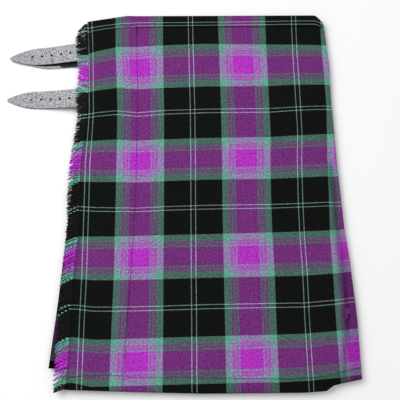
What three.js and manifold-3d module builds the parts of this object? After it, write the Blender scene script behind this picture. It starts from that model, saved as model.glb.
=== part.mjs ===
// A tartan kilt, closed and laid flat with its front apron up: aprons, pleated back, waistband,
// fringed edge, leather straps and buckles. Millimetres, +Z up, +Y towards the waist, and the
// wearer's right side at -X. The origin is at the middle of the bounding box's underside.

import * as THREE from "three";
import { mergeVertices } from "three/addons/utils/BufferGeometryUtils.js";
import Module from "manifold-3d";

const wasm = await Module();
wasm.setup();

// ---- cloth and leather -------------------------------------------------------------------
const CLOTH = 1.4;          // wall of the wool cloth
const BAND = 2.8;           // waistband: the cloth doubled
const SEAM = 0.3;           // gap between sewn pieces
const STRAP = 2.2;          // strap leather
const TAB = 1.0;            // leather of the buckle tabs

// ---- heights of the layers' middles above the surface ---------------------------------------
const PLEAT_PITCH = 2.2;
const FACE = CLOTH / 2;                   // outer faces of the pleats, on the surface
const RETURN = FACE + PLEAT_PITCH;        // folds going back
const INNER = FACE + 2 * PLEAT_PITCH;     // inside of the back
const UNDER = INNER + 1.9;                // under apron
const FRONT = UNDER + 1.9;                // front apron
const STRAP_LIFT = 2.6;                   // what the straps lift the apron's free edge by
const LIFT_FULL = -88;                    // the lift is whole up to here from the free edge
const LIFT_END = -58;                     // and gone from here on
const STRAP_Z = 8.2;                      // underside of the sewn strap ends

// ---- outline: a row for each place where a line turns ----------------------------------------
const BAND_HEIGHT = 20.5;
const waistLine = [
  { x: -190, y: 294.5 },
  { x: -150, y: 296.5 },
  { x: -78, y: 307.5 },
  { x: 230, y: 304.5 },
  { x: 275, y: 303 },
];
const frontHem = [
  { x: -180, y: -302 },
  { x: -163, y: -299.5 },
  { x: -60, y: -303.5 },
  { x: 40, y: -306.5 },
  { x: 190, y: -307.5 },
  { x: 222, y: -306.5 },
  { x: 232, y: -299.5 },
  { x: 250, y: -296 },
  { x: 275, y: -291.5 },
];
const backHem = [
  { x: -190, y: -270 },
  { x: 275, y: -291.5 },
];
const freeEdge = [
  { y: -300, x: -163.5 },
  { y: -220, x: -159.5 },
  { y: -175, x: -160.5 },
  { y: -90, x: -152.5 },
  { y: -15, x: -150 },
  { y: 5, x: -151 },
  { y: 295, x: -147.5 },
];
const fringeReach = [
  { y: -302, out: 17 },
  { y: -230, out: 19 },
  { y: -145, out: 17 },
  { y: -65, out: 18 },
  { y: 5, out: 19 },
  { y: 85, out: 15 },
  { y: 135, out: 9 },
  { y: 160, out: 14 },
  { y: 205, out: 10 },
  { y: 275, out: 18 },
  { y: 288, out: 13 },
];
const rightFold = [
  { y: -292, x: 273 },
  { y: -215, x: 273 },
  { y: -170, x: 272 },
  { y: -115, x: 269 },
  { y: -65, x: 264 },
  { y: 35, x: 260 },
  { y: 114, x: 258 },
  { y: 159, x: 256.8 },
  { y: 217, x: 257.6 },
  { y: 276, x: 254 },
  { y: 292, x: 252 },
];
const leftFold = [
  { y: -298, x: -188 },
  { y: 290, x: -141 },
];
const backSeam = [
  { y: -298, x: 217 },
  { y: 290, x: 195 },
];

// ---- pleats -----------------------------------------------------------------------------------
const PLEATS = 10;
const pleatZone = [
  { y: -298, from: -58, to: 205 },
  { y: 290, from: -40, to: 185 },
];
const STEP = 2;             // half the run of the step down from the inside to the face
const TUCK = 3;             // from a pleat's line to the middles of the folds beside it
const UNDER_TURN = 34;      // cloth of the under apron carried round the left fold
const UNDER_SHORT = 26;     // the under apron's free edge, in from the right fold

// ---- straps and buckles ------------------------------------------------------------------------
const STRAP_WIDTH = 32;
const STRAP_POINT = 50;     // length of the point
const STRAP_ROOT = -100;    // sewn ends
const HOLE_RADIUS = 1.5;
const HOLES = 5;
const HOLE_PITCH = 15.5;
const FIRST_HOLE = 37;
const straps = [
  { name: "upper_strap", tip: -273, y: 234.6, slope: 0.066, root: STRAP_Z, end: 2.6, from: -158, to: -215 },
  { name: "lower_strap", tip: -273, y: 161.1, slope: -0.012, root: STRAP_Z, end: 0, from: -158, to: -225 },
  { name: "under_strap", tip: -250, y: 228.4, slope: 0.075, root: 1.9, end: 0, from: -150, to: -185 },
];
const buckles = [
  { name: "upper", bar: -76, y: 240, faces: 1 },
  { name: "lower", bar: -76, y: 160, faces: 1 },
  { name: "left_hip", bar: 225, y: 240, faces: -1 },
];
const FRAME_LENGTH = 24;
const FRAME_HALF = 21;
const FRAME_RIM = 3.8;
const BAR_HALF = 1.1;
const METAL_LOW = 1.3;
const METAL_HIGH = 2.7;
const TAB_HALF = 15;
const TAB_LENGTH = 26;
const TAB_HIGH = 4.0;

const wool = { color: 0x1c1a20, roughness: 0.9, metalness: 0 };
const purpleWool = { color: 0x7a3a88, roughness: 0.95, metalness: 0 };
const greyLeather = { color: 0xb9bbc0, roughness: 0.5, metalness: 0 };
const steel = { color: 0xc8c9cc, roughness: 0.25, metalness: 1 };

// The value of a table's column at a place along another column, straight between rows.
function read(table, along, column, at) {
  const last = table.length - 1;
  if (at <= table[0][along]) return table[0][column];
  if (at >= table[last][along]) return table[last][column];
  const i = table.findIndex((row) => row[along] > at);
  const a = table[i - 1];
  const b = table[i];
  return THREE.MathUtils.mapLinear(at, a[along], b[along], a[column], b[column]);
}

const ease = (value, from, to) => THREE.MathUtils.smoothstep(value, from, to);
const waist = (x) => read(waistLine, "x", "y", x);
const seam = (x) => waist(x) - BAND_HEIGHT;

// A closed solid through rings of equal count; each end is closed across the ring, point to point.
function loft(rings) {
  const count = rings[0].length;
  const positions = rings.flat().flatMap((p) => [p.x, p.y, p.z]);
  const index = [];
  for (let j = 0; j + 1 < rings.length; j += 1) {
    for (let i = 0; i < count; i += 1) {
      const a = j * count + i;
      const b = j * count + ((i + 1) % count);
      index.push(a, b, b + count, a, b + count, a + count);
    }
  }
  const cap = (base, turned) => {
    for (let i = 0; i + 1 < count / 2; i += 1) {
      const quad = [i, i + 1, count - 2 - i, count - 1 - i].map((k) => base + k);
      if (turned) quad.reverse();
      index.push(quad[0], quad[2], quad[1], quad[0], quad[3], quad[2]);
    }
  };
  cap(0, false);
  cap((rings.length - 1) * count, true);
  const geometry = new THREE.BufferGeometry();
  geometry.setAttribute("position", new THREE.Float32BufferAttribute(positions, 3));
  geometry.setIndex(index);
  return facingOut(geometry);
}

// Turns every triangle over when the enclosed volume comes out negative.
function facingOut(geometry) {
  const point = geometry.attributes.position;
  const index = Array.from(geometry.index.array);
  const corner = (k) => new THREE.Vector3().fromBufferAttribute(point, index[k]);
  let volume = 0;
  for (let k = 0; k < index.length; k += 3) {
    volume += corner(k).dot(corner(k + 1).cross(corner(k + 2)));
  }
  if (volume < 0) {
    for (let k = 0; k < index.length; k += 3) {
      [index[k + 1], index[k + 2]] = [index[k + 2], index[k + 1]];
    }
    geometry.setIndex(index);
  }
  geometry.computeVertexNormals();
  return geometry;
}

// The ring round one row of cloth: its middle line moved half a wall to each side, in X and Z.
function wallRing(row, wall) {
  const sides = row.map((point, i) => {
    const before = row[Math.max(i - 1, 0)];
    const after = row[Math.min(i + 1, row.length - 1)];
    const into = new THREE.Vector2(point.x - before.x, point.z - before.z).normalize();
    const out = new THREE.Vector2(after.x - point.x, after.z - point.z).normalize();
    const way = into.clone().add(out).normalize();
    const bend = Math.max(way.dot(i === 0 ? out : into), 0.7);
    const reach = wall / 2 / bend;
    return new THREE.Vector2(-way.y, way.x).multiplyScalar(reach);
  });
  const move = (i, sign) =>
    new THREE.Vector3(row[i].x + sign * sides[i].x, row[i].y, row[i].z + sign * sides[i].y);
  const over = row.map((_, i) => move(i, 1));
  const below = row.map((_, i) => move(i, -1)).reverse();
  return over.concat(below);
}

const clothWall = (rows, wall = CLOTH) => loft(rows.map((row) => wallRing(row, wall)));

// Points {x, z} evenly along a straight run, the first end left out.
function run(from, to, steps) {
  return Array.from({ length: steps }, (_, i) => {
    const t = (i + 1) / steps;
    return { x: THREE.MathUtils.lerp(from.x, to.x, t), z: THREE.MathUtils.lerp(from.z, to.z, t) };
  });
}

// Points {x, z} round a half-circle fold from one height to another; side +1 bulges to +X.
function fold(x, fromZ, toZ, side, steps = 5) {
  const middle = (fromZ + toZ) / 2;
  const radius = (toZ - fromZ) / 2;
  return Array.from({ length: steps + 1 }, (_, i) => {
    const angle = -Math.PI / 2 + (Math.PI * i) / steps;
    return { x: x + side * Math.abs(radius) * Math.cos(angle), z: middle + radius * Math.sin(angle) };
  });
}

// Lays sections between a hem line and the waistband's seam. section(y) gives the points {x, z}
// of the row whose height at the middle is y.
function panel(heights, section, hem) {
  return heights.map((t) => {
    const level = THREE.MathUtils.lerp(-298, 290, t);
    return section(level).map(({ x, z }) => {
      const low = hem(x, z);
      const y = THREE.MathUtils.lerp(low, seam(x), t);
      return new THREE.Vector3(x, y, z);
    });
  });
}

const evenly = (steps) => Array.from({ length: steps + 1 }, (_, i) => i / steps);

// Height of the front apron's middle: lifted by the straps at the free edge, rolling down at the
// right fold.
function frontHeight(x, foldX) {
  const lift = STRAP_LIFT * (1 - ease(x, LIFT_FULL, LIFT_END));
  const roll = (FRONT - INNER - 2 * ROLL_RADIUS) * ease(x, foldX - UNDER_SHORT, foldX - ROLL_RADIUS);
  return FRONT + lift - roll;
}

const ROLL_RADIUS = 1.2;

function frontSection(y) {
  const edge = read(freeEdge, "y", "x", y);
  const foldX = read(rightFold, "y", "x", y) - CLOTH / 2 - ROLL_RADIUS;
  const flat = evenly(26).map((t) => THREE.MathUtils.lerp(edge, foldX - UNDER_SHORT, t));
  const rolling = evenly(6).slice(1).map((t) => foldX - UNDER_SHORT * (1 - t));
  const top = flat.concat(rolling).map((x) => ({ x, z: frontHeight(x, foldX + ROLL_RADIUS) }));
  const turn = fold(foldX, INNER + 2 * ROLL_RADIUS, INNER, 1).slice(1);
  const sewn = read(backSeam, "y", "x", y) + SEAM;
  return top.concat(turn, run({ x: foldX, z: INNER }, { x: sewn, z: INNER }, 3));
}

// The hem follows the front above the fold and the back's line once it has turned under.
function frontApron() {
  const underneath = (INNER + UNDER) / 2;
  const hem = (x, z) => (z > underneath ? read(frontHem, "x", "y", x) : backLine(x));
  return clothWall(panel(evenly(18), frontSection, hem));
}

function underSection(y) {
  const free = read(rightFold, "y", "x", y) - UNDER_SHORT - 3;
  const foldX = read(leftFold, "y", "x", y) + (UNDER - INNER) / 2 + CLOTH / 2;
  const top = [{ x: free, z: UNDER }].concat(run({ x: free, z: UNDER }, { x: foldX, z: UNDER }, 12));
  const turn = fold(foldX, UNDER, INNER, -1).slice(1);
  return top.concat(turn, run({ x: foldX, z: INNER }, { x: foldX + UNDER_TURN, z: INNER }, 2));
}

const backLine = (x) => read(backHem, "x", "y", x);

function underApron() {
  return clothWall(panel(evenly(6), underSection, backLine));
}

// Knife pleats from left to right: along the inside, down to the face, round its outer fold,
// back to an inner fold, and on along the inside.
function pleatSection(y) {
  const left = read(leftFold, "y", "x", y) + (UNDER - INNER) / 2 + CLOTH / 2 + UNDER_TURN + SEAM;
  const right = read(backSeam, "y", "x", y);
  const from = read(pleatZone, "y", "from", y);
  const pitch = (read(pleatZone, "y", "to", y) - from) / PLEATS;
  const points = [{ x: left, z: INNER }];
  for (let k = 0; k < PLEATS; k += 1) {
    const line = from + k * pitch;
    points.push({ x: line - STEP, z: INNER });
    points.push({ x: line + STEP, z: FACE });
    points.push(...fold(line + pitch - TUCK, FACE, RETURN, 1));
    points.push(...fold(line + TUCK, RETURN, INNER, -1));
  }
  points.push({ x: right, z: INNER });
  return points;
}

function pleatedBack() {
  return clothWall(panel([0, 0.5, 1], pleatSection, backLine));
}

// The band's path: front from the free edge, round the right fold, along the back, round the
// left fold and along the under apron's top.
const BAND_FRONT = 10.2;
const BAND_BACK = 3.0;
const BAND_UNDER = UNDER;

function bandSection(t) {
  const corner = 12 * t * t;
  const rightRadius = (BAND_FRONT - BAND_BACK) / 2;
  const right = 253 - corner - rightRadius - BAND / 2;
  const left = -140 + (BAND_UNDER - BAND_BACK) / 2 + BAND / 2;
  const lifted = (x) => BAND_FRONT + 1.5 * (1 - ease(x, LIFT_FULL, LIFT_END));
  const front = evenly(22).map((s) => THREE.MathUtils.lerp(-147.5, right, s));
  const top = front.map((x) => ({ x, z: lifted(x) }));
  const turn = fold(right, BAND_FRONT, BAND_BACK, 1, 8).slice(1);
  const back = run({ x: right, z: BAND_BACK }, { x: left, z: BAND_BACK }, 14);
  const inward = fold(left, BAND_BACK, BAND_UNDER, -1, 6).slice(1);
  const under = run({ x: left, z: BAND_UNDER }, { x: 215, z: BAND_UNDER }, 12);
  return top.concat(turn, back, inward, under);
}

function waistband() {
  const rows = evenly(3).map((t) =>
    bandSection(t).map(({ x, z }) => {
      const hidden = z < BAND_FRONT - 1 ? 2 * t : 0;
      const y = seam(x) + SEAM + t * (BAND_HEIGHT - SEAM) - hidden;
      return new THREE.Vector3(x, y, z);
    }),
  );
  return clothWall(rows, BAND);
}

// A plain solid of the fringe's reach beside the free edge.
function fringe() {
  const rootZ = FRONT + STRAP_LIFT;
  const rings = evenly(24).map((t) => {
    const y = THREE.MathUtils.lerp(-299, 279, t);
    const root = read(freeEdge, "y", "x", y) - SEAM;
    const tip = root - read(fringeReach, "y", "out", y);
    return [
      new THREE.Vector3(tip, y - 2, rootZ - CLOTH / 2),
      new THREE.Vector3(root, y, rootZ - CLOTH / 2),
      new THREE.Vector3(root, y, rootZ + CLOTH / 2),
      new THREE.Vector3(tip, y - 2, rootZ + CLOTH / 2),
    ];
  });
  return loft(rings);
}

// ---- straps: a tapering plate that slopes down to the surface, with round holes ------------------
function solid(geometry) {
  const bare = geometry.clone();
  bare.deleteAttribute("normal");
  bare.deleteAttribute("uv");
  const merged = mergeVertices(bare, 1e-4);
  return new wasm.Manifold(new wasm.Mesh({
    numProp: 3,
    vertProperties: new Float32Array(merged.attributes.position.array),
    triVerts: new Uint32Array(merged.index.array),
  }));
}

function cut(geometry, tools) {
  const left = tools.reduce((body, tool) => body.subtract(solid(tool)), solid(geometry));
  const mesh = left.getMesh();
  const result = new THREE.BufferGeometry();
  result.setAttribute("position", new THREE.Float32BufferAttribute(mesh.vertProperties, 3));
  result.setIndex(Array.from(mesh.triVerts));
  result.computeVertexNormals();
  return result;
}

// Half the width at a distance from the tip: a quarter of a sine wave over the point's length,
// made fuller near the tip by the power.
function strapHalf(distance) {
  const t = Math.min(distance / STRAP_POINT, 1) ** 0.85;
  const blunt = 0.12;
  return (STRAP_WIDTH / 2) * (blunt + (1 - blunt) * Math.sin((Math.PI / 2) * t));
}

function strapLow(row, x) {
  return THREE.MathUtils.lerp(row.root, row.end, ease(-x, -row.from, -row.to));
}

function strap(row) {
  const middle = (x) => row.y + row.slope * (x - row.tip);
  const point = evenly(10).map((t) => row.tip + STRAP_POINT * t * t);
  const body = evenly(14).slice(1).map((t) => THREE.MathUtils.lerp(row.tip + STRAP_POINT, STRAP_ROOT, t));
  const rings = point.concat(body).map((x) => {
    const half = strapHalf(x - row.tip);
    const low = strapLow(row, x);
    return [
      new THREE.Vector3(x, middle(x) - half, low),
      new THREE.Vector3(x, middle(x) + half, low),
      new THREE.Vector3(x, middle(x) + half, low + STRAP),
      new THREE.Vector3(x, middle(x) - half, low + STRAP),
    ];
  });
  const holes = Array.from({ length: HOLES }, (_, i) => {
    const x = row.tip + FIRST_HOLE + i * HOLE_PITCH;
    const drill = new THREE.CylinderGeometry(HOLE_RADIUS, HOLE_RADIUS, 4 * STRAP, 12);
    return drill.rotateX(Math.PI / 2).translate(x, middle(x), strapLow(row, x) + STRAP / 2);
  });
  return cut(loft(rings), holes);
}

// ---- buckles: frame, tongue and leather tab, face down under the side of the back ---------------
function outline(points) {
  return new THREE.Shape(points.map(([x, y]) => new THREE.Vector2(x, y)));
}

// A profile {x, z} about the bar, extruded across the strap.
function across(points, half) {
  const geometry = new THREE.ExtrudeGeometry(outline(points), { depth: 2 * half, bevelEnabled: false });
  return geometry.translate(0, 0, -half).rotateX(Math.PI / 2);
}

function buckleFrame() {
  const ring = outline([
    [-FRAME_LENGTH, 3 - FRAME_HALF],
    [3 - FRAME_LENGTH, -FRAME_HALF],
    [BAR_HALF, -FRAME_HALF],
    [BAR_HALF, FRAME_HALF],
    [3 - FRAME_LENGTH, FRAME_HALF],
    [-FRAME_LENGTH, FRAME_HALF - 3],
  ]);
  const far = FRAME_RIM - FRAME_LENGTH;
  const wide = FRAME_HALF - FRAME_RIM;
  ring.holes.push(new THREE.Path([
    new THREE.Vector2(far, -wide),
    new THREE.Vector2(far, wide),
    new THREE.Vector2(-BAR_HALF, wide),
    new THREE.Vector2(-BAR_HALF, -wide),
  ]));
  const depth = METAL_HIGH - METAL_LOW;
  return new THREE.ExtrudeGeometry(ring, { depth, bevelEnabled: false }).translate(0, 0, METAL_LOW);
}

function buckleTongue() {
  const inside = BAR_HALF + SEAM;
  const outside = inside + 0.9;
  const low = METAL_LOW - SEAM;
  const high = METAL_HIGH + SEAM;
  return across([
    [0.5 - FRAME_LENGTH, low - 0.9],
    [outside, low - 0.9],
    [outside, high + 0.9],
    [-outside, high + 0.9],
    [-outside, 1.6],
    [-inside, 1.6],
    [-inside, high],
    [inside, high],
    [inside, low],
    [0.5 - FRAME_LENGTH, low],
  ], 1.2);
}

function buckleTab() {
  const middle = (METAL_LOW + METAL_HIGH) / 2;
  const arc = (radius) => evenly(8).map((t) => {
    const angle = Math.PI / 2 + Math.PI * t;
    return [-1 + radius * Math.cos(angle), middle + radius * Math.sin(angle)];
  });
  const outer = arc(TAB_HIGH / 2);
  const inner = arc(TAB_HIGH / 2 - TAB).reverse();
  const loop = across([
    [TAB_LENGTH, TAB_HIGH],
    ...outer,
    [4, 0],
    [9, 1.7],
    [TAB_LENGTH, 1.7],
    [TAB_LENGTH, 1.7 + TAB],
    [8.7, 1.7 + TAB],
    [3.7, TAB],
    ...inner,
    [TAB_LENGTH, TAB_HIGH - TAB],
  ], TAB_HALF);
  const slot = new THREE.BoxGeometry(6.7, 4, 12).translate(-0.15, 0, middle);
  return cut(loop, [slot]);
}

// ---- assembly -------------------------------------------------------------------------------------
function part(name, geometry, look) {
  const mesh = new THREE.Mesh(geometry, new THREE.MeshStandardMaterial(look));
  mesh.name = name;
  return mesh;
}

const kilt = new THREE.Group();
kilt.add(part("front_apron", frontApron(), wool));
kilt.add(part("under_apron", underApron(), wool));
kilt.add(part("pleated_back", pleatedBack(), wool));
kilt.add(part("waistband", waistband(), wool));
kilt.add(part("fringe", fringe(), purpleWool));
for (const row of straps) {
  kilt.add(part(row.name, strap(row), greyLeather));
}
for (const row of buckles) {
  const pieces = [
    part(`${row.name}_buckle_frame`, buckleFrame(), steel),
    part(`${row.name}_buckle_tongue`, buckleTongue(), steel),
    part(`${row.name}_buckle_tab`, buckleTab(), greyLeather),
  ];
  const buckle = new THREE.Group();
  buckle.add(...pieces);
  buckle.rotation.z = row.faces > 0 ? 0 : Math.PI;
  buckle.position.set(row.bar, row.y, 0);
  kilt.add(buckle);
}

kilt.updateMatrixWorld(true);
const box = new THREE.Box3().setFromObject(kilt);
const middle = box.getCenter(new THREE.Vector3());
kilt.position.set(-middle.x, -middle.y, -box.min.z);

export default kilt;
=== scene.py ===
"""A tartan kilt laid flat with its front apron up, built round its CAD frame.

Blender add-on layout, run as a script. Lengths in the tables are millimetres, +X towards the
wearer's left, +Y towards the waist, +Z up; meshes are metres in the frame's own axes.
"""

import bmesh
import bpy
import numpy as np
from bpy.props import FloatProperty, FloatVectorProperty, IntProperty, PointerProperty
from mathutils import Matrix, Vector


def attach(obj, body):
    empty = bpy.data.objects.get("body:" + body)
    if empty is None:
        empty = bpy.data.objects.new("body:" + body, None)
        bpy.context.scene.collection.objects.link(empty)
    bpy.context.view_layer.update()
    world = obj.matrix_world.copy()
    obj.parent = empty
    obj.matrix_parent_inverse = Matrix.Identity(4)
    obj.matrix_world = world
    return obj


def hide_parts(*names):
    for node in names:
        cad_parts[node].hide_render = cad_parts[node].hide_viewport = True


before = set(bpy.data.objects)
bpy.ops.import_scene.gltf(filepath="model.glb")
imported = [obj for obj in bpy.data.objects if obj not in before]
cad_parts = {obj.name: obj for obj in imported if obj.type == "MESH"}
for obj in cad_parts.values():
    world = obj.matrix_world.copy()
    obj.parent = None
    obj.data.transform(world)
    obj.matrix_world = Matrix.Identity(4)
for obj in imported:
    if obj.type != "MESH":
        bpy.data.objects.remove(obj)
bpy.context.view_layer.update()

bl_info = {
    "name": "Tartan kilt",
    "version": (1, 0, 0),
    "blender": (4, 5, 0),
    "location": "View3D > Sidebar > Kilt",
    "description": "Builds a flat-laid tartan kilt with fringe, straps and buckles",
    "category": "Object",
}

MM = 0.001

# ---- the cloth's heights and outline, as the frame has them ---------------------------------
CLOTH = 1.4
PLEAT_PITCH = 2.2
FACE = CLOTH / 2
RETURN = FACE + PLEAT_PITCH
INNER = FACE + 2 * PLEAT_PITCH
LAYER_STEP = 1.9
UNDER = INNER + LAYER_STEP
FRONT = UNDER + LAYER_STEP
STRAP_LIFT = 2.6
LIFT_FULL, LIFT_END = -88, -58
BAND_HEIGHT = 20.5
SEAM_GAP = 0.3
LOW_LEVEL, HIGH_LEVEL = -298, 290

WAIST_LINE = {"x": (-190, -150, -78, 230, 275), "y": (294.5, 296.5, 307.5, 304.5, 303)}
FRONT_HEM = {
    "x": (-180, -163, -60, 40, 190, 222, 232, 250, 275),
    "y": (-303, -301, -305.5, -309, -309.5, -307.5, -300, -296, -291.5),
}
BACK_HEM = {"x": (-190, 275), "y": (-270, -291.5)}
FREE_EDGE = {
    "y": (-300, -240, -190, -140, -75, -35, 20, 70, 110, 135, 180, 225, 292),
    "x": (-162.5, -160, -159, -157.5, -152.5, -150, -151, -149.5, -145, -142.5, -142, -143, -145.5),
}
FRINGE_REACH = {
    "y": (-302, -230, -145, -65, 5, 85, 135, 160, 205, 275, 288, 296),
    "out": (17, 19.5, 17.5, 18, 19.5, 17, 16, 21, 16, 21.5, 15, 5),
}
FRINGE_SWEEP = {
    "y": (-302, -285, -250, -200, -140, -70, -20, 10, 35, 65, 100, 135, 180, 230, 265, 295),
    "down": (0.25, 0.55, 0.55, 0.45, 0.5, 0.45, 0.5, 0.6, 0.35, 0.5, 0.4, 0.15, 0, 0, 0.3, 0.45),
}
RIGHT_FOLD = {
    "y": (-292, -260, -215, -190, -165, -115, -65, 35, 114, 159, 217, 276, 292),
    "x": (275.5, 275.2, 274.8, 274, 272.3, 269.3, 264.5, 260, 258, 256.8, 257.6, 254, 252),
}
LEFT_FOLD = {"y": (-298, -190, 290), "x": (-188, -177.4, -141)}
BACK_SEAM = {"y": (-298, 290), "x": (217, 195)}
PLEAT_FROM = {"y": (-298, 290), "x": (-58, -40)}
PLEAT_TO = {"y": (-298, 290), "x": (205, 185)}
PLEATS = 10
UNDER_SHORT = 26
UNDER_TURN = 34
ROLL_RADIUS = 1.2

# The pressed crease down the apron, where its columns of points gather.
CREASE = {
    "y": (-297, -231, -183, -135, -82, -27, 21, 174, 290),
    "x": (-76.5, -73.7, -70.5, -67.3, -64.1, -61.7, -60.2, -59.8, -62.5),
}

# Soft folds of the front: from one end to the other, half-width and height, down when negative.
FRONT_FOLDS = (
    {"x0": 250, "y0": 45, "x1": 260, "y1": -205, "wide": 4.8, "high": -3.2},
    {"x0": 260, "y0": -185, "x1": 249, "y1": -296, "wide": 5.0, "high": -3.2},
    {"x0": 260, "y0": -60, "x1": 268, "y1": -200, "wide": 3.5, "high": 1.0},
    {"x0": 267, "y0": -195, "x1": 261, "y1": -285, "wide": 5.0, "high": 1.1},
    {"x0": -70, "y0": 10, "x1": -84, "y1": -290, "wide": 5.0, "high": 0.9},
    {"x0": -148, "y0": 236, "x1": -96, "y1": 246, "wide": 14, "high": 0.5},
    {"x0": -148, "y0": 159, "x1": -92, "y1": 163, "wide": 14, "high": 0.6},
    {"x0": -150, "y0": 199, "x1": -104, "y1": 197, "wide": 10, "high": -1.5},
    {"x0": -152, "y0": 118, "x1": -98, "y1": 122, "wide": 12, "high": -1.2},
    {"x0": 205, "y0": -45, "x1": 252, "y1": -88, "wide": 13, "high": -0.7},
    {"x0": -120, "y0": 20, "x1": -40, "y1": -60, "wide": 24, "high": 0.4},
    {"x0": 60, "y0": 180, "x1": 150, "y1": 40, "wide": 34, "high": 0.35},
    {"x0": 110, "y0": -120, "x1": 20, "y1": -250, "wide": 30, "high": -0.4},
    {"x0": -30, "y0": 250, "x1": 30, "y1": 120, "wide": 22, "high": -0.35},
)
HEM_LINE = {
    "x": (-165, -100, -51, 93, 168, 224, 243, 275),
    "y": (-283.5, -281, -285, -288, -290, -287, -281, -275),
}
HEM_STEP = 0.35

# How far the woven lines lie off the straight: warp lines sideways, weft lines up the cloth.
WARP_SHIFT = {
    "y": (-297, -200, -130, -80, -20, 50, 95, 140, 190, 240, 295),
    "x=-143": (0, 1, 2.5, 2.5, 2.5, 2.5, 5, 7, 5, 3.5, -0.5),
    "x=-95": (-2.5, -0.5, 1.5, 1.5, 2, 2, 2, 2, 0, -3, -4),
    "x=-17": (-1, 0, 0, 0.5, 1, 1, 1, 1, 0, -1, -1),
    "x=75": (0, 0, 0, 0, 0, 1, 1, 1, 0.5, 0, -1),
    "x=196": (1.5, 0.5, 1, -0.5, -0.5, 1.5, 4.5, 4, 3.5, 3, 3.5),
    "x=244": (-1, -3, -3, -4, -2, -0.5, 1.5, 3.5, 3, 1.5, 2),
    "x=250": (-5, -5.5, -5.5, -5.5, -3, 0, 1.5, 3.5, 3, 1.5, 2),
    "x=257": (-9.5, -11, -10.5, -10, -6, 0, 1.5, 3.5, 3, 1.5, 2),
}
WEFT_SHIFT = {
    "x": (-150, -125, -96, -60, -18, 50, 155, 197, 245, 270),
    "y=-300": (8, 2, 2, 2.5, 3, 4, 4.5, 6.5, 10.5, 14),
    "y=-228": (3.5, 0, -0.5, 0.5, 1.5, 2.5, 4, 5, 8.5, 11.5),
    "y=-184": (4, 0.5, 0, 0, 0.5, 2, 2.5, 2.5, 6.5, 10),
    "y=-68": (-2.5, -2.5, -3, -2.5, -1.5, -1, 0.5, 1.5, 3, 5),
    "y=-25": (-2, -4, -5, -6, -4, -2.5, -2.5, -1.5, 0, 0),
    "y=90": (-5, -4.5, -3, -5, -3.5, -2, -2, 0.5, 2, 2),
    "y=135": (-9, -4.5, -2, -5, -1.5, 0, -0.5, 2, 3.5, 2),
    "y=178": (-14, -8, -4, -5.5, -3.5, -2, -2.5, -1, -1, -1),
    "y=250": (-14, -6.5, 0, 1.5, 4, 6, 3, 2, 0.5, 0.5),
    "y=294": (-10, -6, -2.5, 0.5, 0, -0.5, -0.5, 0, -0.5, -1.5),
}

STRAPS = (
    {"name": "upper_strap", "tip": -274, "y": 234.6, "slope": 0.066, "root": 8.2, "end": 2.6,
     "from": -158, "to": -215, "first": 37, "turned": False},
    {"name": "lower_strap", "tip": -275, "y": 161.1, "slope": -0.012, "root": 8.2, "end": 0,
     "from": -158, "to": -225, "first": 39.3, "turned": False},
    {"name": "under_strap", "tip": -250, "y": 228.4, "slope": 0.075, "root": 1.9, "end": 0,
     "from": -150, "to": -185, "first": 37, "turned": True},
)
BUCKLES = ("upper", "lower", "left_hip")


# ---- settings --------------------------------------------------------------------------------
def length(name, default, text):
    """A length property in metres."""
    return FloatProperty(name=name, description=text, default=default, subtype="DISTANCE", unit="LENGTH")


def colour(name, default, text):
    """A linear colour property."""
    return FloatVectorProperty(name=name, description=text, default=default, size=4, subtype="COLOR")


class KiltCloth(bpy.types.PropertyGroup):
    thickness: length("Cloth thickness", CLOTH * MM, "Wall of the kilt cloth")
    yarn_pitch: length("Yarn pitch", 0.00056, "Distance from one yarn to the next")
    half_warp: length("Half sett across", 0.08475, "From a line pair's centre to a purple centre, across")
    half_weft: length("Half sett along", 0.0797, "From a line pair's centre to a purple centre, along")
    warp_centre: length("Warp centre", 0.0288, "Where a pair of fine lines runs down the cloth")
    weft_centre: length("Weft centre", 0.1346, "Where a pair of fine lines crosses the cloth")
    black: colour("Black yarn", (0.0046, 0.0054, 0.0052, 1), "Ground yarn")
    purple: colour("Purple yarn", (0.45, 0.033, 0.525, 1), "Broad bands")
    green: colour("Green yarn", (0.112, 0.385, 0.28, 1), "Bands beside the black")
    line: colour("Pale yarn", (0.30, 0.60, 0.47, 1), "Fine lines")
    fuzz: colour("Fuzz", (0.35, 0.20, 0.30, 1), "Lint that shows where black crosses a colour")


class KiltTrim(bpy.types.PropertyGroup):
    fringe_yarn: length("Fringe yarn", 0.00135, "Diameter of a free yarn")
    fringe_count: IntProperty(name="Fringe yarns", description="Yarns in the twisted strands",
                              default=555, min=90)
    strap_thickness: length("Strap thickness", 0.0022, "Leather of the straps")
    hole_radius: length("Hole radius", 0.0016, "Round holes in the straps")
    leather: colour("Leather", (0.56, 0.575, 0.60, 1), "Raised grain of the leather")
    groove: colour("Grain grooves", (0.07, 0.072, 0.08, 1), "Grooves of the grain")
    flesh: colour("Flesh side", (0.012, 0.012, 0.013, 1), "Back and cut edges of the leather")
    steel: colour("Buckle metal", (0.62, 0.63, 0.65, 1), "Plated buckles")


class KiltStage(bpy.types.PropertyGroup):
    floor: colour("Floor", (0.99, 0.99, 0.99, 1), "Plain pale floor")
    tilt: FloatProperty(name="Camera tilt", description="From straight above, towards the hem",
                        default=np.radians(15.0), subtype="ANGLE", unit="ROTATION")
    roll: FloatProperty(name="Camera roll", description="Turn of the picture",
                        default=np.radians(-0.75), subtype="ANGLE", unit="ROTATION")
    distance: length("Camera distance", 1.097, "From the middle of the picture on the cloth")
    lens: FloatProperty(name="Focal length", description="Millimetres, on a 36 mm sensor",
                        default=62.82, subtype="DISTANCE_CAMERA")
    key: FloatProperty(name="Key light", description="Power of the main softbox", default=36.0, unit="POWER")
    fill: FloatProperty(name="World light", description="Brightness all round", default=0.5)


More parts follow.
